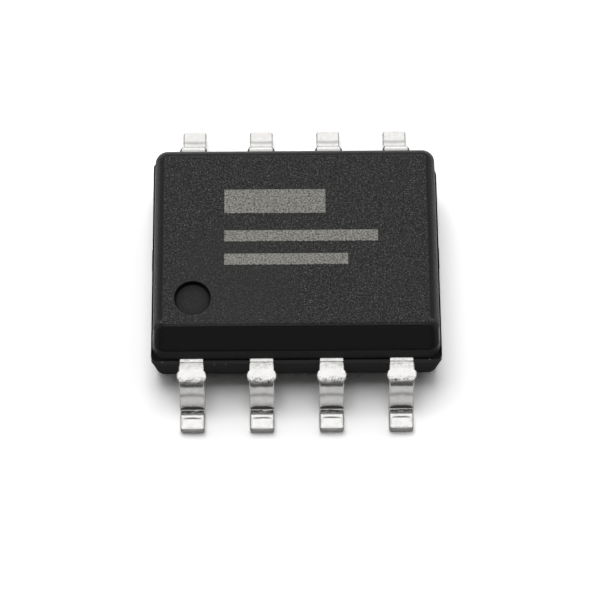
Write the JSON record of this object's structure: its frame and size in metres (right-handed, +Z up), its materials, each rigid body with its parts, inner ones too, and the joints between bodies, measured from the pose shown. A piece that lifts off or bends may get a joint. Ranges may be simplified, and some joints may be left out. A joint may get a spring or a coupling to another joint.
{
  "type": "eeprom chip",
  "caption": "Small black moulded memory chip with gull-wing leads along both long sides, a bevelled edge and a round dimple by the first pin, soldered flat onto a circuit board.",
  "frame": {"origin": "on the board's surface, under the middle of the moulded body", "axes": "+X along the body from pin 1 towards pin 4, +Y across the body away from the pin 1 side, +Z up from the board"},
  "size_m": [0.0052, 0.006, 0.0016],
  "materials": {
    "mould_resin": "black filled epoxy, fine spark-eroded grain, satin sides",
    "tin_plate": "bright tin plate on copper alloy",
    "frame_copper": "bare stamped copper alloy",
    "die_adhesive": "silver-filled epoxy",
    "silicon": "polished silicon with fine circuit lines",
    "gold_wire": "drawn gold"
  },
  "bodies": {
    "root": {"moulded_body": "mould_resin", "die_paddle": "frame_copper", "die_attach": "die_adhesive", "memory_die": "silicon", "lead_1": "tin_plate", "lead_2": "tin_plate", "lead_3": "tin_plate", "lead_4": "tin_plate", "lead_5": "tin_plate", "lead_6": "tin_plate", "lead_7": "tin_plate", "lead_8": "tin_plate", "bond_wire_1": "gold_wire", "bond_wire_2": "gold_wire", "bond_wire_3": "gold_wire", "bond_wire_4": "gold_wire", "bond_wire_5": "gold_wire", "bond_wire_6": "gold_wire", "bond_wire_8": "gold_wire"}
  },
  "joints": []
}
